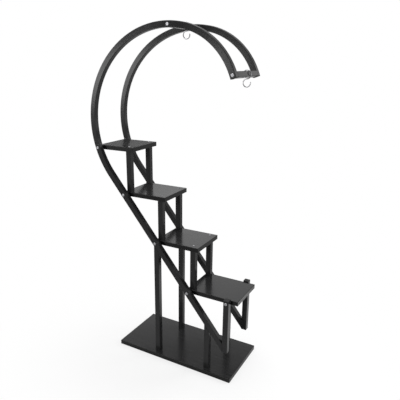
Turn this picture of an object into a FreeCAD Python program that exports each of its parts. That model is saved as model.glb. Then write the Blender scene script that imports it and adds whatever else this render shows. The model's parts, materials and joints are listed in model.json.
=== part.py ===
import FreeCAD, Part
import os

# Tiered plant stand: two bent tube frames, four stepped shelf boards, a base board and two swinging hooks.
# Millimetres, +Z up, +X towards the low shelf, +Y away from the viewer, origin on the floor under the base.

doc = FreeCAD.newDocument("plant_stand")

# Driving dimensions
dimensions = [
    ("base_length", 600),
    ("base_depth", 300),
    ("base_thickness", 20),
    ("shelf_depth", 197),
    ("shelf_thickness", 20),
    ("shelf_step", 207),
    ("low_shelf_top", 380),
    ("shelf_overhang", 18.5),
    ("low_shelf_overhang", 32.5),
    ("shelf_end_margin", 12),
    ("board_edge_round", 1.2),
    ("tube_size", 25),
    ("tube_wall", 1.5),
    ("tube_corner", 2),
    ("rail_start_x", -339.5),
    ("rail_start_z", 871.8),
    ("arc_radius", 388),
    ("tip_radius", 293),
    ("blend_angle", 79),
    ("rail_angle", 51),
    ("seam_offset", 12),
    ("seam_gap", 0.5),
    ("tip_overrun", 9.5),
    ("sleeve_length", 80),
    ("sleeve_wall", 1.5),
    ("sleeve_clearance", 0.2),
    ("end_post_x", 259),
    ("end_post_rise", 3),
    ("left_leg_x", -94),
    ("right_leg_x", 169),
    ("post_offset", 10),
    ("post_inset", 8),
    ("bar_size", 22),
    ("bar_wall", 1.5),
    ("bar_corner", 2),
    ("top_bar_angle", 87.9),
    ("tip_bar_angle", 21),
    ("bolt_diameter", 6),
    ("bolt_clearance", 0.2),
    ("bolt_head_diameter", 13),
    ("bolt_head_height", 3.4),
    ("bolt_socket", 4),
    ("bolt_socket_depth", 2),
    ("bolt_bite", 16),
    ("bar_insert_length", 20),
    ("shelf_insert_diameter", 10),
    ("shelf_insert_length", 24),
    ("screw_diameter", 4),
    ("screw_head_diameter", 8.4),
    ("screw_head_height", 2.2),
    ("screw_socket", 2.5),
    ("screw_socket_depth", 1.4),
    ("screw_bite", 14),
    ("screw_recess", 3.2),
    ("screw_head_clearance", 0.4),
    ("tube_insert_length", 18),
    ("plug_head", 3),
    ("plug_round", 1.5),
    ("plug_stem_spare", 1),
    ("plug_clearance", 0.2),
    ("hook_wire", 4),
    ("hook_gap", 0.3),
    ("hook_eye_radius", 15.5),
    ("hook_sweep", 280),
    ("top_hook_y", 27),
    ("tip_hook_y", 16),
]

dims = doc.addObject("Spreadsheet::Sheet", "dims")
for row, (alias, value) in enumerate(dimensions, 1):
    dims.set(f"A{row}", alias)
    dims.set(f"B{row}", str(value))
    dims.setAlias(f"B{row}", alias)
doc.recompute()

# Values worked out from the driving dimensions
derived = doc.addObject("App::VarSet", "derived")


def derive(name, expression):
    derived.addProperty("App::PropertyFloat", name)
    derived.setExpression(name, expression)


derive("half_tube", "dims.tube_size / 2")
derive("bore_size", "dims.tube_size - 2 * dims.tube_wall")
derive("frame_y", "dims.shelf_depth / 2 + derived.half_tube")
derive("outer_y", "dims.shelf_depth / 2 + dims.tube_size")
derive("inner_y", "dims.shelf_depth / 2")
derive("post_y", "dims.shelf_depth / 2 - dims.post_inset - derived.half_tube")
derive("post_length", "dims.shelf_step - dims.shelf_thickness")
for shelf in (1, 2, 3, 4):
    derive(f"shelf_{shelf}_top", f"dims.low_shelf_top + {4 - shelf} * dims.shelf_step")
    derive(f"shelf_{shelf}_mid", f"derived.shelf_{shelf}_top - dims.shelf_thickness / 2")

# The straight rail starts where the big arc has the rail's slope, so the arc's centre follows from it
derive("rail_start_angle", "270 - dims.rail_angle")
derive("arc_centre_x", "dims.rail_start_x - dims.arc_radius * cos(derived.rail_start_angle)")
derive("arc_centre_z", "dims.rail_start_z - dims.arc_radius * sin(derived.rail_start_angle)")
derive("rail_end_x", "dims.end_post_x - derived.half_tube")
derive("rail_drop", "derived.half_tube / cos(dims.rail_angle)")
derive("rail_length", "(derived.rail_end_x - dims.rail_start_x) / cos(dims.rail_angle)"
       " + dims.tube_size * tan(dims.rail_angle)")
derive("rail_foot_z", "dims.rail_start_z - (derived.rail_end_x - dims.rail_start_x)"
       " * tan(dims.rail_angle) - derived.rail_drop")
derive("end_post_top", "dims.low_shelf_top + dims.end_post_rise")

# Bolts that hold the shelves sit on the frame's centre line, at the middle of each board's edge
derive("shelf_1_bolt_drop", "asin((derived.arc_centre_z - derived.shelf_1_mid) / dims.arc_radius)")
derive("shelf_1_bolt_angle", "180 + derived.shelf_1_bolt_drop")
derive("shelf_1_bolt_x", "derived.arc_centre_x + dims.arc_radius * cos(derived.shelf_1_bolt_angle)")
for shelf in (2, 3, 4):
    derive(f"shelf_{shelf}_bolt_x",
           f"dims.rail_start_x + (dims.rail_start_z - derived.shelf_{shelf}_mid) / tan(dims.rail_angle)")

# Each short post stands just past the bolt of the shelf below it, and the shelf above ends just past the post
for post in (1, 2, 3):
    derive(f"post_{post}_x", f"derived.shelf_{post + 1}_bolt_x + dims.post_offset")
    derive(f"shelf_{post}_right", f"derived.post_{post}_x + derived.half_tube + dims.shelf_overhang")
derive("shelf_4_right", "dims.end_post_x + derived.half_tube + dims.low_shelf_overhang")

# Angles along the arcs
derive("degrees_per_mm", "180 / (pi * dims.arc_radius)")
derive("seam_angle", "derived.shelf_1_bolt_angle - dims.seam_offset * derived.degrees_per_mm")
derive("seam_gap_angle", "dims.seam_gap * derived.degrees_per_mm")
derive("sleeve_half_angle", "dims.sleeve_length / 2 * derived.degrees_per_mm")
derive("tip_end_angle", "dims.tip_bar_angle - dims.tip_overrun * 180 / (pi * dims.tip_radius)")
derive("tip_centre_x", "derived.arc_centre_x + (dims.arc_radius - dims.tip_radius) * cos(dims.blend_angle)")
derive("tip_centre_z", "derived.arc_centre_z + (dims.arc_radius - dims.tip_radius) * sin(dims.blend_angle)")
derive("tip_end_x", "derived.tip_centre_x + dims.tip_radius * cos(derived.tip_end_angle)")
derive("tip_end_z", "derived.tip_centre_z + dims.tip_radius * sin(derived.tip_end_angle)")

# The top crossbar is flush with the inside of the bend, the tip crossbar with its outside
derive("bar_shift", "derived.half_tube - dims.bar_size / 2")
derive("top_bar_x", "derived.arc_centre_x + (dims.arc_radius - derived.bar_shift) * cos(dims.top_bar_angle)")
derive("top_bar_z", "derived.arc_centre_z + (dims.arc_radius - derived.bar_shift) * sin(dims.top_bar_angle)")
derive("tip_bar_x", "derived.tip_centre_x + (dims.tip_radius + derived.bar_shift) * cos(dims.tip_bar_angle)")
derive("tip_bar_z", "derived.tip_centre_z + (dims.tip_radius + derived.bar_shift) * sin(dims.tip_bar_angle)")

# Fasteners, plugs, the crossbars' bore and the hooks that clear their corners
derive("bolt_hole_radius", "dims.bolt_diameter / 2 + dims.bolt_clearance")
derive("bolt_length", "dims.tube_size + dims.bolt_bite")
derive("screw_hole_radius", "dims.screw_diameter / 2")
derive("plug_stem", "min(dims.tip_overrun; dims.end_post_rise + dims.shelf_thickness / 2)"
       " - derived.bolt_hole_radius - dims.plug_stem_spare")
derive("plug_stem_size", "derived.bore_size - 2 * dims.plug_clearance")
derive("recess_radius", "dims.screw_head_diameter / 2 + dims.screw_head_clearance")
derive("bar_bore", "dims.bar_size - 2 * dims.bar_wall")
derive("bar_sweep_radius", "(dims.bar_size / 2 - dims.bar_corner) * sqrt(2) + dims.bar_corner")
derive("hook_bend_radius", "derived.bar_sweep_radius + dims.hook_gap + dims.hook_wire / 2")
# The bend opens as far as balances the eye, so that the hook hangs straight
derive("hook_eye_pull", "(dims.hook_eye_radius / derived.hook_bend_radius) ^ 2 * (1 - cos(dims.hook_sweep))")
derive("hook_bend_opening", "acos(1 - derived.hook_eye_pull)")
derive("hook_bend_sweep", "360 - derived.hook_bend_opening")
doc.recompute()

upright = FreeCAD.Rotation()
flat_to_frame = FreeCAD.Rotation(FreeCAD.Vector(1, 0, 0), 90)
facing_front = FreeCAD.Rotation(FreeCAD.Vector(1, 0, 0), 90)
facing_back = FreeCAD.Rotation(FreeCAD.Vector(1, 0, 0), -90)
facing_down = FreeCAD.Rotation(FreeCAD.Vector(1, 0, 0), 180)
about_z = FreeCAD.Rotation(FreeCAD.Vector(0, 0, 1), 1)
about_bar = FreeCAD.Rotation(FreeCAD.Vector(0, -1, 0), 1)

sub_parts = []


# Building blocks, each bound to the sheet by expressions
def bind(item, sizes):
    for prop, expression in sizes.items():
        item.setExpression(prop, expression)
    return item


def place(item, x="0", y="0", z="0", rotation=upright, turn=None):
    item.Placement = FreeCAD.Placement(FreeCAD.Vector(), about_z if turn else rotation)
    bind(item, {"Placement.Base.x": x, "Placement.Base.y": y, "Placement.Base.z": z})
    if turn:
        item.setExpression("Placement.Rotation.Angle", turn)
    return item


def block(length, width, height, x, y, z, turn=None):
    item = doc.addObject("Part::Box", "block")
    bind(item, {"Length": length, "Width": width, "Height": height})
    return place(item, x, y, z, turn=turn)


def rod(radius, height, x="0", y="0", z="0", rotation=upright, sweep=None, turn=None):
    item = doc.addObject("Part::Cylinder", "rod")
    bind(item, {"Radius": radius, "Height": height})
    if sweep:
        item.setExpression("Angle", sweep)
    return place(item, x, y, z, rotation, turn)


def join(*pieces):
    item = doc.addObject("Part::MultiFuse", "join")
    item.Shapes = list(pieces)
    item.Refine = True
    return item


def trim(base, *tools):
    item = doc.addObject("Part::Cut", "trim")
    item.Base = base
    item.Tool = tools[0] if len(tools) == 1 else join(*tools)
    return item


def rounded(base, radius, wanted):
    doc.recompute()
    edges = base.Shape.Edges
    chosen = [number for number, edge in enumerate(edges, 1) if wanted(edge)]
    item = doc.addObject("Part::Fillet", "rounded")
    item.Base = base
    item.Edges = [(number, radius, radius) for number in chosen]
    return item


def sub_part(item, label):
    item.Label = label
    sub_parts.append(item)
    return item


def group(pieces, label):
    item = doc.addObject("Part::Compound", "group")
    item.Links = pieces
    return sub_part(item, label)


def runs_along(direction):
    def wanted(edge):
        first, last = edge.Vertexes[0].Point, edge.Vertexes[-1].Point
        return len(edge.Vertexes) == 2 and abs((last - first).normalize().dot(direction)) > 0.999
    return wanted


def long_edge(edge):
    heights = [vertex.Point.z for vertex in edge.Vertexes]
    at_face = abs(abs(heights[0]) - dims.tube_size / 2) < 0.01
    return at_face and max(heights) - min(heights) < 0.01 and edge.Length > 2 * dims.tube_size


# Bent tubes are drawn lying flat, x across and y up, then stood up in their frame's plane
def arc_band(radius, size, centre_x, centre_y, start, sweep):
    half = f"({size}) / 2"
    outer = rod(f"{radius} + {half}", size, centre_x, centre_y, f"-{half}", sweep=sweep, turn=start)
    inner = rod(f"{radius} - {half}", f"2 * ({size})", centre_x, centre_y, f"-({size})")
    return trim(outer, inner)


def flat_hole(x, y, radius="derived.bolt_hole_radius"):
    return rod(radius, "2 * dims.tube_size", x, y, "-dims.tube_size")


def stand_up(item, side, label):
    place(item, "0", f"{side} * derived.frame_y", "0", flat_to_frame)
    return sub_part(item, label)


sides = {"front": -1, "back": 1}
arc_place = ("derived.arc_centre_x", "derived.arc_centre_z")
tip_place = ("derived.tip_centre_x", "derived.tip_centre_z")
tube_size = "dims.tube_size"
bore_size = "derived.bore_size"

for side_name, side in sides.items():
    # Upper arc: the big bend from the seam to the blend, then the tighter bend to the tip
    big_sweep = "derived.seam_angle - derived.seam_gap_angle - dims.blend_angle"
    tip_sweep = "dims.blend_angle - derived.tip_end_angle"
    solid = join(
        arc_band("dims.arc_radius", tube_size, *arc_place, "dims.blend_angle", big_sweep),
        arc_band("dims.tip_radius", tube_size, *tip_place, "derived.tip_end_angle", tip_sweep))
    bore = join(
        arc_band("dims.arc_radius", bore_size, *arc_place, "dims.blend_angle", big_sweep + " + 2"),
        arc_band("dims.tip_radius", bore_size, *tip_place, "derived.tip_end_angle - 2", tip_sweep + " + 2"))
    holes = join(flat_hole("derived.top_bar_x", "derived.top_bar_z"),
                 flat_hole("derived.tip_bar_x", "derived.tip_bar_z"))
    arc = trim(trim(rounded(solid, dims.tube_corner, long_edge), bore), holes)
    stand_up(arc, side, f"{side_name}_upper_arc")

    # Lower rail: the rest of the big bend, then straight down to the end post
    bend_sweep = "derived.rail_start_angle - derived.seam_angle"

    def straight(size):
        return block("derived.rail_length", size, size,
                     f"dims.rail_start_x - {size} / 2 * sin(dims.rail_angle)",
                     f"dims.rail_start_z - {size} / 2 * cos(dims.rail_angle)",
                     f"-{size} / 2", turn="-dims.rail_angle")

    solid = join(arc_band("dims.arc_radius", tube_size, *arc_place, "derived.seam_angle", bend_sweep),
                 straight(tube_size))
    bore = join(
        arc_band("dims.arc_radius", bore_size, *arc_place, "derived.seam_angle - 2", bend_sweep + " + 2"),
        straight(bore_size))
    beyond = block("4 * dims.tube_size", "8 * dims.tube_size", "2 * dims.tube_size",
                   "derived.rail_end_x", "derived.rail_foot_z - 4 * dims.tube_size", "-dims.tube_size")
    holes = join(*[flat_hole(f"derived.shelf_{n}_bolt_x", f"derived.shelf_{n}_mid") for n in (1, 2, 3, 4)])
    rail = trim(trim(rounded(solid, dims.tube_corner, long_edge), bore), beyond, holes)
    stand_up(rail, side, f"{side_name}_lower_rail")

    # Sleeve inside the seam of arc and rail
    sleeve_size = "(derived.bore_size - 2 * dims.sleeve_clearance)"
    sleeve_span = ("derived.seam_angle - derived.sleeve_half_angle", "2 * derived.sleeve_half_angle")
    sleeve_bore = f"({sleeve_size} - 2 * dims.sleeve_wall)"
    sleeve = trim(arc_band("dims.arc_radius", sleeve_size, *arc_place, *sleeve_span),
                  arc_band("dims.arc_radius", sleeve_bore, *arc_place,
                           sleeve_span[0] + " - 1", sleeve_span[1] + " + 2"),
                  flat_hole("derived.shelf_1_bolt_x", "derived.shelf_1_mid"))
    stand_up(sleeve, side, f"{side_name}_arc_sleeve")


# Straight upright tubes
def upright_tube(x, y, bottom, length):
    solid = block(tube_size, tube_size, length,
                  f"{x} - derived.half_tube", f"{y} - derived.half_tube", bottom)
    bore = block(bore_size, bore_size, f"{length} + 2", f"{x} - {bore_size} / 2", f"{y} - {bore_size} / 2",
                 f"{bottom} - 1")
    return rounded(solid, dims.tube_corner, runs_along(FreeCAD.Vector(0, 0, 1))), bore


for side_name, side in sides.items():
    frame_y = f"{side} * derived.frame_y"

    # End post, which closes the rail's low end and holds the lowest shelf
    solid, bore = upright_tube("dims.end_post_x", frame_y, "derived.rail_foot_z",
                               "(derived.end_post_top - derived.rail_foot_z)")
    hole = rod("derived.bolt_hole_radius", "2 * dims.tube_size", "dims.end_post_x",
               f"{frame_y} + dims.tube_size", "derived.shelf_4_mid", facing_front)
    sub_part(trim(solid, bore, hole), f"{side_name}_end_post")

    # Legs, cut to the rail's slope at the top
    for leg in ("left", "right"):
        leg_x = f"dims.{leg}_leg_x"
        top = f"(dims.rail_start_z - ({leg_x} - dims.rail_start_x) * tan(dims.rail_angle))"
        solid, bore = upright_tube(leg_x, frame_y, "dims.base_thickness", f"({top} - dims.base_thickness)")
        above = block("8 * dims.tube_size", "2 * dims.tube_size", "4 * dims.tube_size", "0", "0", "0")
        above.Placement = FreeCAD.Placement(FreeCAD.Vector(), FreeCAD.Rotation(FreeCAD.Vector(0, 1, 0), 1))
        bind(above, {
            "Placement.Rotation.Angle": "dims.rail_angle",
            "Placement.Base.x": f"{leg_x} - 4 * dims.tube_size * cos(dims.rail_angle)",
            "Placement.Base.y": f"{frame_y} - dims.tube_size",
            "Placement.Base.z": f"{top} - derived.rail_drop + 4 * dims.tube_size * sin(dims.rail_angle)"})
        sub_part(trim(solid, bore, above), f"{side_name}_{leg}_leg")

    # Short posts between one shelf and the next
    for post in (1, 2, 3):
        solid, bore = upright_tube(f"derived.post_{post}_x", f"{side} * derived.post_y",
                                   f"derived.shelf_{post + 1}_top", "derived.post_length")
        sub_part(trim(solid, bore), f"{side_name}_post_{post}")


# Boards, with bores for their inserts and holes for their screws
def board(length, depth, thickness, x, z):
    solid = block(length, depth, thickness, x, f"-{depth} / 2", z)
    return rounded(solid, dims.board_edge_round, lambda edge: True)


def edge_bore(x, z, side):
    return rod("dims.shelf_insert_diameter / 2", "dims.shelf_insert_length + 1",
               x, f"{side} * (derived.inner_y + 1)", z, facing_back if side < 0 else facing_front)


def down_hole(x, y, bottom, top):
    return rod("derived.screw_hole_radius", f"{top} - {bottom}", x, y, bottom)


def recess_below(x, y, bottom):
    return rod("derived.recess_radius", "dims.screw_recess + 1", x, y, f"{bottom} - 1")


for shelf in (1, 2, 3, 4):
    left = f"(derived.shelf_{shelf}_bolt_x - dims.shelf_end_margin)"
    top = f"derived.shelf_{shelf}_top"
    bottom = f"({top} - dims.shelf_thickness)"
    length = f"derived.shelf_{shelf}_right - {left}"
    solid = board(length, "dims.shelf_depth", "dims.shelf_thickness", left, bottom)
    cuts = []
    for side in sides.values():
        cuts.append(edge_bore(f"derived.shelf_{shelf}_bolt_x", f"derived.shelf_{shelf}_mid", side))
        post_y = f"{side} * derived.post_y"
        if shelf == 4:
            cuts.append(edge_bore("dims.end_post_x", "derived.shelf_4_mid", side))
        else:
            cuts.append(down_hole(f"derived.post_{shelf}_x", post_y, f"({bottom} - 1)", f"({top} + 1)"))
        if shelf > 1:
            cuts.append(down_hole(f"derived.post_{shelf - 1}_x", post_y, f"({bottom} - 1)", f"({top} + 1)"))
            cuts.append(recess_below(f"derived.post_{shelf - 1}_x", post_y, bottom))
    sub_part(trim(solid, *cuts), f"shelf_board_{shelf}")

solid = board("dims.base_length", "dims.base_depth", "dims.base_thickness", "-dims.base_length / 2", "0")
cuts = []
for side in sides.values():
    for leg in ("left", "right"):
        spot = (f"dims.{leg}_leg_x", f"{side} * derived.frame_y")
        cuts.append(down_hole(*spot, "(-1)", "(dims.base_thickness + 1)"))
        cuts.append(recess_below(*spot, "0"))
sub_part(trim(solid, *cuts), "base_board")


# Crossbars between the arcs, turned to lie square to the bend
def bar_block(size, length):
    return block(size, length, size, f"-{size} / 2", f"-({length}) / 2", f"-{size} / 2")


def along_bar(item, bar, y):
    place(item, f"derived.{bar}_bar_x", y, f"derived.{bar}_bar_z", about_bar)
    return bind(item, {"Placement.Rotation.Angle": f"dims.{bar}_bar_angle"})


for bar in ("top", "tip"):
    tube = rounded(bar_block("dims.bar_size", "dims.shelf_depth"), dims.bar_corner,
                   runs_along(FreeCAD.Vector(0, 1, 0)))
    bore = bar_block("derived.bar_bore", "(dims.shelf_depth + 2)")
    sub_part(along_bar(trim(tube, bore), bar, "0"), f"{bar}_crossbar")


# Threaded plugs inside the tubes and boards, each with a bore for its bolt or screw
def round_insert(radius, length, bore_radius, rotation, x, y, z):
    item = trim(rod(radius, length, z=f"-{length}"), rod(bore_radius, f"{length} + 2", z=f"-{length} - 1"))
    return place(item, x, y, z, rotation)


def square_insert(x, y, z, rotation):
    length = "dims.tube_insert_length"
    solid = block(bore_size, bore_size, length, f"-{bore_size} / 2", f"-{bore_size} / 2", f"-{length}")
    item = trim(solid, rod("derived.screw_hole_radius", f"{length} + 2", z=f"-{length} - 1"))
    return place(item, x, y, z, rotation)


def bar_insert(bar, side):
    length = "dims.bar_insert_length"
    hole = rod("dims.bolt_diameter / 2", f"{length} + 2", y=f"{length} / 2 + 1", rotation=facing_front)
    item = trim(bar_block("derived.bar_bore", length), hole)
    return along_bar(item, bar, f"{side} * (derived.inner_y - {length} / 2)")


outward = {-1: facing_front, 1: facing_back}
bolt_radius = "dims.bolt_diameter / 2"
bar_inserts, shelf_inserts, post_inserts, leg_inserts = [], [], [], []
for side in sides.values():
    inner_y = f"{side} * derived.inner_y"
    for bar in ("top", "tip"):
        bar_inserts.append(bar_insert(bar, side))
    spots = [(f"derived.shelf_{n}_bolt_x", f"derived.shelf_{n}_mid") for n in (1, 2, 3, 4)]
    spots.append(("dims.end_post_x", "derived.shelf_4_mid"))
    for x, z in spots:
        shelf_inserts.append(round_insert("dims.shelf_insert_diameter / 2", "dims.shelf_insert_length",
                                          bolt_radius, outward[side], x, inner_y, z))
    for post in (1, 2, 3):
        spot = (f"derived.post_{post}_x", f"{side} * derived.post_y")
        post_inserts.append(square_insert(*spot, f"derived.shelf_{post}_top - dims.shelf_thickness", upright))
        post_inserts.append(square_insert(*spot, f"derived.shelf_{post + 1}_top", facing_down))
    for leg in ("left", "right"):
        leg_inserts.append(square_insert(f"dims.{leg}_leg_x", f"{side} * derived.frame_y",
                                         "dims.base_thickness", facing_down))
group(bar_inserts, "crossbar_inserts")
group(shelf_inserts, "shelf_inserts")
group(post_inserts, "post_inserts")
group(leg_inserts, "leg_inserts")


# Button-head fasteners: the head stands on the surface at the origin and the shank runs below it
def fastener(kind, length, x, y, z, rotation):
    head = rod(f"dims.{kind}_head_diameter / 2", f"dims.{kind}_head_height")
    crown = rounded(head, dims.get(f"{kind}_head_height") * 0.55,
                    lambda edge: len(edge.Vertexes) == 1 and edge.Vertexes[0].Point.z > 0.1)
    shank = rod(f"dims.{kind}_diameter / 2", length, z=f"-{length}")
    socket = doc.addObject("Part::Prism", "socket")
    socket.Polygon = 6
    bind(socket, {"Circumradius": f"dims.{kind}_socket / sqrt(3)", "Height": f"dims.{kind}_socket_depth + 1"})
    place(socket, z=f"dims.{kind}_head_height - dims.{kind}_socket_depth")
    return place(trim(join(crown, shank), socket), x, y, z, rotation)


bar_bolts, side_bolts, top_screws, under_screws, base_screws = [], [], [], [], []
for side in sides.values():
    outer_y = f"{side} * derived.outer_y"
    for bar in ("top", "tip"):
        bar_bolts.append(fastener("bolt", "derived.bolt_length", f"derived.{bar}_bar_x", outer_y,
                                  f"derived.{bar}_bar_z", outward[side]))
    for x, z in [(f"derived.shelf_{n}_bolt_x", f"derived.shelf_{n}_mid") for n in (1, 2, 3, 4)] + [
            ("dims.end_post_x", "derived.shelf_4_mid")]:
        side_bolts.append(fastener("bolt", "derived.bolt_length", x, outer_y, z, outward[side]))
    for post in (1, 2, 3):
        spot = (f"derived.post_{post}_x", f"{side} * derived.post_y")
        through = "(dims.shelf_thickness + dims.screw_bite)"
        top_screws.append(fastener("screw", through, *spot, f"derived.shelf_{post}_top", upright))
        recessed = "(dims.shelf_thickness - dims.screw_recess + dims.screw_bite)"
        seat = f"derived.shelf_{post + 1}_top - dims.shelf_thickness + dims.screw_recess"
        under_screws.append(fastener("screw", recessed, *spot, seat, facing_down))
    for leg in ("left", "right"):
        recessed = "(dims.base_thickness - dims.screw_recess + dims.screw_bite)"
        base_screws.append(fastener("screw", recessed, f"dims.{leg}_leg_x", f"{side} * derived.frame_y",
                                    "dims.screw_recess", facing_down))
group(bar_bolts, "crossbar_bolts")
group(side_bolts, "shelf_side_bolts")
group(top_screws, "shelf_top_screws")
group(under_screws, "shelf_under_screws")
group(base_screws, "base_screws")


# Plugs in the open tube ends: a rounded cap on the end and a stem inside
def plug(x, y, z):
    cap = block(tube_size, tube_size, "dims.plug_head", "-derived.half_tube", "-derived.half_tube", "0")
    cap = rounded(cap, dims.plug_round, lambda edge: max(v.Point.z for v in edge.Vertexes) > 0.1)
    size = "derived.plug_stem_size"
    stem = block(size, size, "derived.plug_stem", f"-{size} / 2", f"-{size} / 2", "-derived.plug_stem")
    return place(join(cap, stem), x, y, z)


tip_plugs, post_plugs = [], []
for side in sides.values():
    frame_y = f"{side} * derived.frame_y"
    tip_plug = plug("derived.tip_end_x", frame_y, "derived.tip_end_z")
    tip_plug.Placement = FreeCAD.Placement(FreeCAD.Vector(), FreeCAD.Rotation(FreeCAD.Vector(0, 1, 0), 1))
    tip_plug.setExpression("Placement.Rotation.Angle", "180 - derived.tip_end_angle")
    tip_plugs.append(tip_plug)
    post_plugs.append(plug("dims.end_post_x", frame_y, "derived.end_post_top"))
    foot_plug = plug("dims.end_post_x", frame_y, "derived.rail_foot_z")
    foot_plug.Placement = FreeCAD.Placement(FreeCAD.Vector(), facing_down)
    post_plugs.append(foot_plug)
group(tip_plugs, "arc_tip_plugs")
group(post_plugs, "end_post_plugs")


# S-hooks: one wire bent round the crossbar and back into an eye, drawn flat about the bar's axis
def bend(radius, centre_y, start, sweep):
    ring = doc.addObject("Part::Torus", "bend")
    bind(ring, {"Radius1": radius, "Radius2": "dims.hook_wire / 2", "Angle3": sweep})
    place(ring, "0", centre_y, "0", turn=start)
    tip = doc.addObject("Part::Sphere", "tip")
    bind(tip, {"Radius": "dims.hook_wire / 2"})
    place(tip, f"{radius} * cos({start} + {sweep})", f"{centre_y} + {radius} * sin({start} + {sweep})", "0")
    return join(ring, tip)


for bar in ("top", "tip"):
    eye_drop = "-(derived.hook_bend_radius + dims.hook_eye_radius)"
    hook = join(bend("derived.hook_bend_radius", "0", "-90", "derived.hook_bend_sweep"),
                bend("dims.hook_eye_radius", eye_drop, "90", "dims.hook_sweep"))
    place(hook, f"derived.{bar}_bar_x", f"dims.{bar}_hook_y", f"derived.{bar}_bar_z", flat_to_frame)
    sub_part(hook, f"{bar}_hook")

doc.recompute()

# Check every object, then write each sub-part
for item in doc.Objects:
    if "Invalid" in item.State or "Error" in item.State:
        raise RuntimeError(f"{item.Name} ({item.Label}) did not rebuild: {item.State}")
os.makedirs("parts", exist_ok=True)
for item in sub_parts:
    if item.Shape.isNull() or not item.Shape.isValid():
        raise RuntimeError(f"{item.Label} has no sound shape")
    item.Shape.exportStep(f"parts/{item.Label}.step")
    print(item.Label, len(item.Shape.Solids), "solids", round(item.Shape.Volume / 1000, 1), "cm3")
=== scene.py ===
import bpy
import json
import numpy as np
from mathutils import Matrix, Vector


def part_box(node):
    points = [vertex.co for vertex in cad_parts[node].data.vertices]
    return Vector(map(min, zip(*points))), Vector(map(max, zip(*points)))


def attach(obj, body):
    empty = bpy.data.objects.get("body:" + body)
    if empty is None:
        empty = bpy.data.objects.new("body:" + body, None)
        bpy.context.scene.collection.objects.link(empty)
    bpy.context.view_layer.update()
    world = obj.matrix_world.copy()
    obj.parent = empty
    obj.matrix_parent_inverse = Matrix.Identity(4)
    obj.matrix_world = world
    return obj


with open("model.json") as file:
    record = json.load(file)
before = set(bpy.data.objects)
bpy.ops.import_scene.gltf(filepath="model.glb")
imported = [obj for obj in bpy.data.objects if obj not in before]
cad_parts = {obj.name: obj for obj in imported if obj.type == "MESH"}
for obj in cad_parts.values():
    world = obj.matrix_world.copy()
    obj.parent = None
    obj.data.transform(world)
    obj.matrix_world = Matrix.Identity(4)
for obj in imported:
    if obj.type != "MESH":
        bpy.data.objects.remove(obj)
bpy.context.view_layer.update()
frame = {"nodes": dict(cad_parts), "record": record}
nodes = frame["nodes"]
print("stand loaded:", len(nodes), "pieces")

scene = bpy.context.scene
scene.view_settings.view_transform = "Standard"

middleBand = (0.3, 0.7)     # where a noise has most of its values


# the nodes of one material or of the world; most calls hand on an output socket
class ShaderTree:
    def __init__(self, owner):
        owner.use_nodes = True
        self.tree = owner.node_tree
        self.tree.nodes.clear()
        self.where = self.add("ShaderNodeTexCoord").outputs

    def add(self, kind, inputs=None, **settings):
        # an input is a plain value, or the output socket that feeds it
        node = self.tree.nodes.new(kind)
        for key, value in settings.items():
            setattr(node, key, value)
        for socket, value in (inputs or {}).items():
            if isinstance(value, bpy.types.NodeSocket):
                self.tree.links.new(value, node.inputs[socket])
            else:
                node.inputs[socket].default_value = value
        return node

    def noise(self, pattern, shift=(0, 0, 0)):
        # object coordinates, stretched and moved for one pattern
        at = self.add("ShaderNodeMapping", {"Vector": self.where["Object"], "Location": shift,
                                            "Scale": pattern.get("stretch", (1, 1, 1))})
        node = self.add("ShaderNodeTexNoise", {"Vector": at.outputs["Vector"], "Scale": pattern["scale"],
                                               "Detail": pattern["detail"],
                                               "Roughness": pattern.get("rough", 0.5)})
        return node.outputs["Fac"]

    def remap(self, source, low, high, band=middleBand, curve="LINEAR"):
        # carries a band of the source's values to a chosen range
        node = self.add("ShaderNodeMapRange", {"Value": source, "From Min": band[0], "From Max": band[1],
                                               "To Min": low, "To Max": high}, interpolation_type=curve)
        return node.outputs["Result"]

    def ramp(self, source, stops, curve="LINEAR"):
        # colours at places along 0 to 1
        node = self.add("ShaderNodeValToRGB", {"Fac": source})
        elements = node.color_ramp.elements
        node.color_ramp.interpolation = curve
        while len(elements) < len(stops):
            elements.new(0.5)
        for element, (place, colour) in zip(elements, stops):
            element.position = place
            element.color = (*colour, 1)
        return node.outputs["Color"]

    def shades(self, source, finish):
        return self.ramp(source, list(zip(middleBand, (finish["dark"], finish["light"]))))

    def tones(self, source, steps):
        return self.ramp(source, [(place, (tone, tone, tone)) for place, tone in steps], "EASE")

    def math(self, kind, first, second=0.0):
        return self.add("ShaderNodeMath", {0: first, 1: second}, operation=kind).outputs[0]

    def vector(self, kind, first, second=(0, 0, 0)):
        return self.add("ShaderNodeVectorMath", {0: first, 1: second}, operation=kind).outputs["Value"]

    def bump(self, height, relief, under=None):
        inputs = {"Height": height, "Strength": relief["strength"], "Distance": relief["depth"]}
        if under is not None:
            inputs["Normal"] = under
        return self.add("ShaderNodeBump", inputs).outputs["Normal"]

    def principled(self, inputs):
        shader = self.add("ShaderNodeBsdfPrincipled", inputs)
        self.add("ShaderNodeOutputMaterial", {"Surface": shader.outputs["BSDF"]})


# satin black powder coat: orange peel over a faint cloudiness
powderCoat = {"dark": (0.0135, 0.0135, 0.0138), "light": (0.0195, 0.0195, 0.0199), "gloss": (0.12, 0.18),
              "index": 1.36, "cloud": {"scale": 9, "detail": 4.0},
              "peel": {"scale": 380, "detail": 2.0, "strength": 0.07, "depth": 0.0004},
              "speck": {"scale": 1500, "detail": 1.0, "strength": 0.06, "depth": 0.0001}}


def coatFinish():
    material = bpy.data.materials.new("powderCoat")
    tree = ShaderTree(material)
    cloud = tree.noise(powderCoat["cloud"])
    relief = None
    for layer in (powderCoat["peel"], powderCoat["speck"]):
        relief = tree.bump(tree.noise(layer), layer, relief)
    tree.principled({"Base Color": tree.shades(cloud, powderCoat), "IOR": powderCoat["index"],
                     "Roughness": tree.remap(cloud, *powderCoat["gloss"]), "Normal": relief})
    return material


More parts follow.
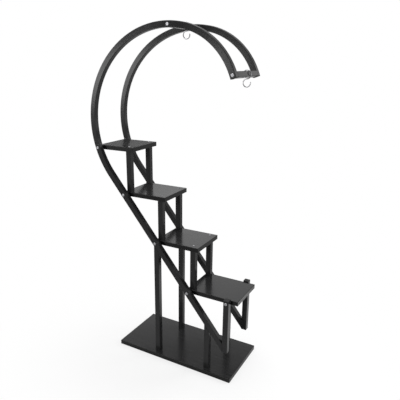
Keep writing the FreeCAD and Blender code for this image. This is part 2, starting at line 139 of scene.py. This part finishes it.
# black laminate on board: fine grain along the board, pores, and the joint of the edge band; the grain
# colours are partly the laminate's own and partly lifted as painted light on the board's faces
laminate = {"dark": (0.0110, 0.0110, 0.0113), "light": (0.0220, 0.0220, 0.0225), "gloss": (0.16, 0.25),
            "index": 1.43, "cutShift": (0.37, 1.3, 2.1),
            "grain": {"stretch": (3.0, 60.0, 60.0), "scale": 4.0, "detail": 6.0, "rough": 0.6},
            "pores": {"stretch": (14.0, 420.0, 420.0), "scale": 2.0, "detail": 3.0,
                      "strength": 0.07, "depth": 0.0003},
            # the band's colour is painted shade: a deeper black that darkens the board's edges
            "band": {"inset": 0.0017, "line": 0.00018, "gloss": 0.22, "colour": (0.0015, 0.0015, 0.0016),
                     "strength": 0.6, "depth": 0.0003}}


def boardFinish(name):
    low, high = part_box(name)
    middle, half = (low + high) / 2, (high - low) / 2
    edge = laminate["band"]
    material = bpy.data.materials.new(name + "_laminate")
    tree = ShaderTree(material)
    # every board is cut from another part of the sheet
    shift = [share * low.z for share in laminate["cutShift"]]
    grain = tree.noise(laminate["grain"], shift)
    pores = tree.noise(laminate["pores"], shift)
    # joint of the edge band: a line at one distance inside the outline, max(|x| - a, |y| - b) = -inset
    place = tree.add("ShaderNodeSeparateXYZ", {"Vector": tree.where["Object"]}).outputs
    reach = []
    for axis in (0, 1):
        offset = tree.math("SUBTRACT", place[axis], middle[axis])
        reach.append(tree.math("SUBTRACT", tree.math("ABSOLUTE", offset), half[axis]))
    inside = tree.math("ADD", tree.math("MAXIMUM", *reach), edge["inset"])
    line = tree.remap(tree.math("ABSOLUTE", inside), 0.0, 1.0, (0.0, edge["line"]))
    band = tree.remap(inside, 0.0, 1.0, (-edge["line"], edge["line"]))
    # past the joint the grain fades to a deeper black, painted shade on the board's edges
    grainToEdgeShade = tree.math("MULTIPLY", grain, tree.math("SUBTRACT", 1.0, band))
    grainAndEdgeShade = (edge["colour"], laminate["dark"], laminate["light"])
    satin = tree.remap(grain, *laminate["gloss"])
    bandSatin = tree.math("MULTIPLY", band, edge["gloss"])
    relief = tree.bump(line, edge, tree.bump(pores, laminate["pores"]))
    tree.principled({"Base Color": tree.ramp(grainToEdgeShade, list(zip((0.0, *middleBand), grainAndEdgeShade))),
                     "Roughness": tree.math("MAXIMUM", satin, bandSatin), "Normal": relief,
                     "IOR": laminate["index"]})
    return material


# dull zinc on fasteners, inserts and sleeves
zincPlate = {"dark": (0.46, 0.46, 0.48), "light": (0.66, 0.66, 0.68), "gloss": (0.38, 0.52),
             "pattern": {"scale": 300, "detail": 4.0, "strength": 0.05, "depth": 0.0002},
             "shader": {"Metallic": 1.0}}

# bright drawn wire of the hooks
hookWire = {"dark": (0.40, 0.40, 0.41), "light": (0.54, 0.54, 0.55), "gloss": (0.06, 0.14),
            "pattern": {"scale": 160, "detail": 4.0, "strength": 0.05, "depth": 0.0002},
            "shader": {"Metallic": 1.0}}

# black moulded plastic of the tube plugs
plugMould = {"dark": (0.008, 0.008, 0.008), "light": (0.014, 0.014, 0.014), "gloss": (0.40, 0.52),
             "pattern": {"scale": 900, "detail": 3.0, "strength": 0.2, "depth": 0.0002},
             "shader": {"IOR": 1.4}}


def evenFinish(name, finish):
    # one pattern gives the shade, the gloss and the relief
    material = bpy.data.materials.new(name)
    tree = ShaderTree(material)
    pattern = tree.noise(finish["pattern"])
    tree.principled({"Base Color": tree.shades(pattern, finish),
                     "Roughness": tree.remap(pattern, *finish["gloss"]),
                     "Normal": tree.bump(pattern, finish["pattern"]), **finish["shader"]})
    return material


def dress(piece, material):
    piece.data.materials.clear()
    piece.data.materials.append(material)


coat = coatFinish()
zinc = evenFinish("zincPlate", zincPlate)
finishOf = {"frame_paint": coat, "sleeve": zinc, "insert": zinc, "fastener": zinc,
            "hook": evenFinish("brightWire", hookWire), "plug": evenFinish("plugPlastic", plugMould)}
slotOf = {row["node"]: row["material_slot"] for row in frame["record"]["subparts"]}
for name, node in nodes.items():
    dress(node, boardFinish(name) if slotOf[name] == "board" else finishOf[slotOf[name]])
print("finishes set")

# painted weld beads where the legs and end posts meet the rails
weld = {"leg": 0.0036, "bulge": 0.22, "sink": 0.25, "ripple": 0.09, "ripples": 8, "taper": 0.98,
        "taperPower": 8, "inset": 0.0025, "rows": 64, "points": 14}


def sweptMesh(name, rings):
    # closed mesh from rings of points, each ring closed on itself and both ends capped by a fan
    rows, points = rings.shape[:2]
    middle = rings[[0, -1]].mean(axis=1)
    verts = np.concatenate([rings.reshape(-1, 3), middle])
    index = np.arange(rows * points).reshape(rows, points)
    turned = np.roll(index, -1, axis=1)
    sides = np.stack([index[:-1], turned[:-1], turned[1:], index[1:]], axis=-1).reshape(-1, 4)
    first = np.stack([turned[0], index[0], np.full(points, rows * points)], axis=-1)
    last = np.stack([index[-1], turned[-1], np.full(points, rows * points + 1)], axis=-1)
    mesh = bpy.data.meshes.new(name)
    mesh.from_pydata(verts.tolist(), [], sides.tolist() + first.tolist() + last.tolist())
    mesh.polygons.foreach_set("use_smooth", np.ones(len(mesh.polygons), dtype=bool))
    mesh.update()
    item = bpy.data.objects.new(name, mesh)
    scene.collection.objects.link(item)
    return item


def weldBead(name, tube, corner, alongFirst, alongSecond):
    # P(u, v) = corner + u * run + s(u) * ((1 - v) * a + v * b + bulge * sin(pi v) * n), closed behind
    # the corner, with s(u) the bead's leg, rippled along the run and drawn in at both ends
    a, b = np.array(alongFirst), np.array(alongSecond)
    outward = (a + b) / np.linalg.norm(a + b)
    width = tube / 2 - weld["inset"]
    u = np.linspace(-1, 1, weld["rows"])
    v = np.linspace(0, 1, weld["points"])[:, None]
    face = (1 - v) * a + v * b + weld["bulge"] * np.sin(np.pi * v) * outward
    profile = np.concatenate([face, [-weld["sink"] * outward]])
    rippled = 1 + weld["ripple"] * np.sin(np.pi * weld["ripples"] * u)
    leg = weld["leg"] * rippled * np.sqrt(1 - weld["taper"] * u ** weld["taperPower"])
    run = np.stack([np.zeros_like(u), u * width, np.zeros_like(u)], axis=-1)
    rings = np.array(corner) + run[:, None, :] + leg[:, None, None] * profile[None]
    if np.cross(a, b)[1] < 0:     # keeps the faces outward whichever way round the corner is named
        rings = rings[:, ::-1]
    bead = sweptMesh(name, rings)
    dress(bead, coat)
    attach(bead, "stand")


def makeWelds():
    for side in ("front", "back"):
        legs = {leg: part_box(f"{side}_{leg}_leg") for leg in ("left", "right")}
        # both legs end on the rail's underside, so their tops give its slope
        (leftLow, leftHigh), (rightLow, rightHigh) = legs.values()
        steepness = (leftHigh.z - rightHigh.z) / (rightLow.x - leftLow.x)
        slope = np.arctan(steepness)
        upRail = (-np.cos(slope), 0.0, np.sin(slope))
        downRail = (np.cos(slope), 0.0, -np.sin(slope))
        tube = leftHigh.x - leftLow.x
        for leg, (low, high) in legs.items():
            across = (low.y + high.y) / 2
            lowTop = high.z - tube * steepness
            weldBead(f"{side}_{leg}_leg_upper_weld", tube, (low.x, across, high.z), (0, 0, -1), upRail)
            weldBead(f"{side}_{leg}_leg_lower_weld", tube, (high.x, across, lowTop), (0, 0, -1), downRail)
        low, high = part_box(f"{side}_lower_rail")
        across = (low.y + high.y) / 2
        railTop = low.z + tube / np.cos(slope)
        weldBead(f"{side}_end_post_weld", tube, (high.x, across, railTop), (0, 0, 1), upRail)


makeWelds()
print("welds laid")

# floor and lamps
studio = {"floorColour": 0.82, "floorHalf": 40.0, "floorDrop": 0.0004, "ambient": 0.55,
          "nearShare": 0.74, "nearReach": 0.35, "farReach": 1.0,
          "pool": (0.52, 0.44, 0), "poolSize": 10.0,
          "poolTones": ((0.020, 1.0), (0.05, 0.4), (0.30, 0.42), (0.70, 0.45), (1.0, 0.9))}
lamps = {"top": {"at": (-0.3, 0.4, 3.4), "to": (0, 0, 0.4), "size": (2.6, 2.6), "watts": 60},
         "back": {"at": (2.2, 2.0, 1.9), "to": (0.5, 0.6, 0.1), "size": (1.6, 1.6), "watts": 60,
                  "mirrored": False},
         "front": {"at": (-1.6, -2.6, 2.6), "to": (0, 0, 0.7), "size": (1.6, 1.6), "watts": 14},
         "strip": {"at": (-3.22, -4.64, 1.20), "to": (-0.1, -0.1, 1.20), "size": (2.62, 0.8), "watts": 28}}

# what the stand mirrors, from left to right: each part's tones by height, and the edge where it starts
skyParts = ({"tones": ((0.0, 1.0), (0.04, 0.4), (0.08, 0.08), (0.20, 0.08),
                       (0.25, 1.0), (0.48, 1.0), (0.57, 0.38), (1.0, 0.3))},
            {"tones": ((0.0, 0.9), (0.05, 0.15), (0.31, 0.28), (0.38, 0.35)),
             "across": (1.0, 0.2, -0.889), "edge": (-0.51, -0.465)},
            {"tones": ((0.0, 0.9), (0.06, 0.12), (0.14, 0.3), (0.19, 1.0), (0.26, 0.9), (0.34, 0.35)),
             "across": (1.0, 0.0, 0.0), "edge": (0.10, 0.20)})


def seenRays(tree):
    # 1 for rays from the camera and for mirrored or passed-through ones, 0 for the light that falls on things
    path = tree.add("ShaderNodeLightPath").outputs
    seen = tree.math("MAXIMUM", path["Is Camera Ray"], path["Is Glossy Ray"])
    return tree.math("MAXIMUM", seen, path["Is Transmission Ray"])


def whiteToCamera(tree, tone):
    # the tone itself where it is mirrored, white where the camera sees it
    path = tree.add("ShaderNodeLightPath").outputs
    return tree.math("MAXIMUM", tone, path["Is Camera Ray"])


def makeFloor():
    half, drop = studio["floorHalf"], studio["floorDrop"]
    corners = [(x * half, y * half, -drop) for x, y in ((-1, -1), (1, -1), (1, 1), (-1, 1))]
    mesh = bpy.data.meshes.new("studioFloor")
    mesh.from_pydata(corners, [], [(0, 1, 2, 3)])
    floor = bpy.data.objects.new("studioFloor", mesh)
    scene.collection.objects.link(floor)
    material = bpy.data.materials.new("paleFloor")
    tree = ShaderTree(material)
    at = tree.where["Object"]
    matt = tree.add("ShaderNodeBsdfDiffuse", {"Color": (studio["floorColour"],) * 3 + (1,)})
    # seen it is white; mirrored it is a pool of light behind the stand, with dimmer floor round it
    off = tree.math("DIVIDE", tree.vector("DISTANCE", at, studio["pool"]), studio["poolSize"])
    pool = whiteToCamera(tree, tree.tones(off, studio["poolTones"]))
    white = tree.add("ShaderNodeEmission", {"Strength": pool})
    # the shadow shows near the stand and fades out with distance
    reach = (studio["nearReach"], studio["farReach"])
    fade = tree.remap(tree.vector("LENGTH", at), studio["nearShare"], 1.0, reach, "SMOOTHSTEP")
    share = tree.math("MULTIPLY", seenRays(tree), fade)
    mix = tree.add("ShaderNodeMixShader", {"Fac": share, 1: matt.outputs[0], 2: white.outputs[0]})
    tree.add("ShaderNodeOutputMaterial", {"Surface": mix.outputs[0]})
    mesh.materials.append(material)


def makeWorld():
    # white to the camera, the tones of skyParts where it is mirrored, and one even light on things
    world = bpy.data.worlds.new("studioWorld")
    scene.world = world
    tree = ShaderTree(world)
    toward = tree.where["Generated"]
    height = tree.add("ShaderNodeSeparateXYZ", {"Vector": toward}).outputs["Z"]
    sky = tree.tones(height, skyParts[0]["tones"])
    for part in skyParts[1:]:
        # goes over to the next part where the direction along "across" passes the edge
        past = tree.remap(tree.vector("DOT_PRODUCT", toward, part["across"]), 0.0, 1.0, part["edge"])
        tones = tree.tones(height, part["tones"])
        sky = tree.add("ShaderNodeMix", {"Factor": past, "A": sky, "B": tones}).outputs[0]
    level = tree.add("ShaderNodeMix", {"Factor": seenRays(tree), "A": studio["ambient"],
                                       "B": whiteToCamera(tree, sky)})
    back = tree.add("ShaderNodeBackground", {"Color": (1, 1, 1, 1), "Strength": level.outputs[0]})
    tree.add("ShaderNodeOutputWorld", {"Surface": back.outputs[0]})


def makeLamp(name, lamp):
    data = bpy.data.lights.new(name + "Lamp", "AREA")
    data.shape = "RECTANGLE"
    data.size, data.size_y = lamp["size"]
    data.energy = lamp["watts"]
    item = bpy.data.objects.new(name + "Lamp", data)
    item.location = lamp["at"]
    item.rotation_euler = (Vector(lamp["to"]) - Vector(lamp["at"])).to_track_quat("-Z", "Y").to_euler()
    item.visible_glossy = lamp.get("mirrored", True)
    scene.collection.objects.link(item)


makeFloor()
makeWorld()
for name, lamp in lamps.items():
    makeLamp(name, lamp)

# camera, where the photograph was taken from
view = {"at": (0.9658, -1.7322, 1.3534), "yaw": 31.37, "pitch": 17.73, "roll": -0.39,
        "lens": 41.025, "sensor": 36.0, "shift": (0.0734, 0.0257)}


def makeCamera():
    yaw, pitch, roll = np.radians([view["yaw"], view["pitch"], view["roll"]])
    ahead = np.array([-np.sin(yaw) * np.cos(pitch), np.cos(yaw) * np.cos(pitch), -np.sin(pitch)])
    level = np.array([np.cos(yaw), np.sin(yaw), 0.0])
    above = np.cross(level, ahead)
    right = np.cos(roll) * level + np.sin(roll) * above
    up = -np.sin(roll) * level + np.cos(roll) * above
    turn = Matrix(np.column_stack([right, up, -ahead]).tolist()).to_4x4()
    data = bpy.data.cameras.new("photoCamera")
    data.lens = view["lens"]
    data.sensor_width = view["sensor"]
    data.shift_x, data.shift_y = view["shift"]
    camera = bpy.data.objects.new("photoCamera", data)
    camera.matrix_world = Matrix.Translation(view["at"]) @ turn
    scene.collection.objects.link(camera)
    scene.camera = camera


makeCamera()
print("studio and camera set")
